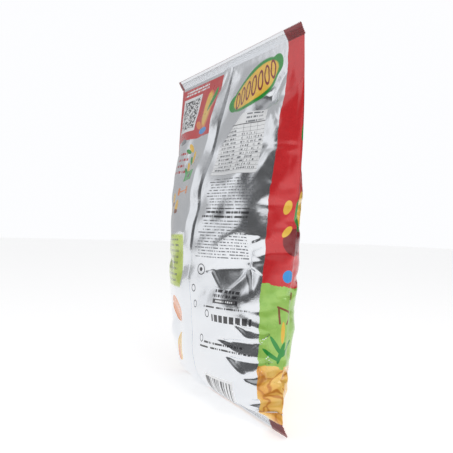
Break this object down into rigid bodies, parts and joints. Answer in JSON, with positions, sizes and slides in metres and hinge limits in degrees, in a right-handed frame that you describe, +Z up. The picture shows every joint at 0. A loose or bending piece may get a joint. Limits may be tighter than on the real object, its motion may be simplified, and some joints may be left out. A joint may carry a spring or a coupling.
{
  "type": "filled pillow bag",
  "caption": "Filled pillow bag of metallised snack film: fin seal down the back, crimped seal at each end, loose corn snacks inside.",
  "frame": {"origin": "middle of the plain margin on the front of the top end seal, where a display clip grips the bag", "axes": "+Z up the bag, +Y out of its back, which has the fin seal, and X across its width"},
  "size_m": [0.204, 0.0715, 0.2959],
  "materials": {
    "printed_film": "glossy printed metallised film",
    "silver_film": "metallised film",
    "puffed_corn": "dry, rough"
  },
  "bodies": {
    "bag": {"front_panel": "printed_film", "back_panel_left": "silver_film", "back_panel_right": "silver_film", "fin_seal": "silver_film"},
    "top_seal": {"top_end_seal": "silver_film"},
    "bottom_seal": {"bottom_end_seal": "silver_film"},
    "contents": {"snack_01": "puffed_corn", "snack_02": "puffed_corn", "snack_03": "puffed_corn", "snack_04": "puffed_corn", "snack_05": "puffed_corn", "snack_06": "puffed_corn", "snack_07": "puffed_corn", "snack_08": "puffed_corn", "snack_09": "puffed_corn", "snack_10": "puffed_corn", "snack_11": "puffed_corn", "snack_12": "puffed_corn", "snack_13": "puffed_corn", "snack_14": "puffed_corn", "snack_15": "puffed_corn", "snack_16": "puffed_corn", "snack_17": "puffed_corn", "snack_18": "puffed_corn", "snack_19": "puffed_corn", "snack_20": "puffed_corn", "snack_21": "puffed_corn", "snack_22": "puffed_corn", "snack_23": "puffed_corn", "snack_24": "puffed_corn", "snack_25": "puffed_corn", "snack_26": "puffed_corn", "snack_27": "puffed_corn", "snack_28": "puffed_corn", "snack_29": "puffed_corn", "snack_30": "puffed_corn", "snack_31": "puffed_corn"}
  },
  "joints": [
    {"name": "top_seal_fold", "type": "hinge", "parent": "bag", "child": "top_seal", "pos_m": [0, -0.00447, -0.00627], "axis": [1, 0, 0], "range_deg": [-40, 110], "stiffness_Nm_per_rad": 0.02},
    {"name": "bottom_seal_fold", "type": "hinge", "parent": "bag", "child": "bottom_seal", "pos_m": [0, -0.00447, -0.28627], "axis": [0.9962, -0.0872, 0], "range_deg": [-55, 90], "stiffness_Nm_per_rad": 0.02},
    {"name": "contents_shift", "type": "slide", "parent": "bag", "child": "contents", "axis": [0, 0, 1], "range_m": [0, 0.03]}
  ]
}
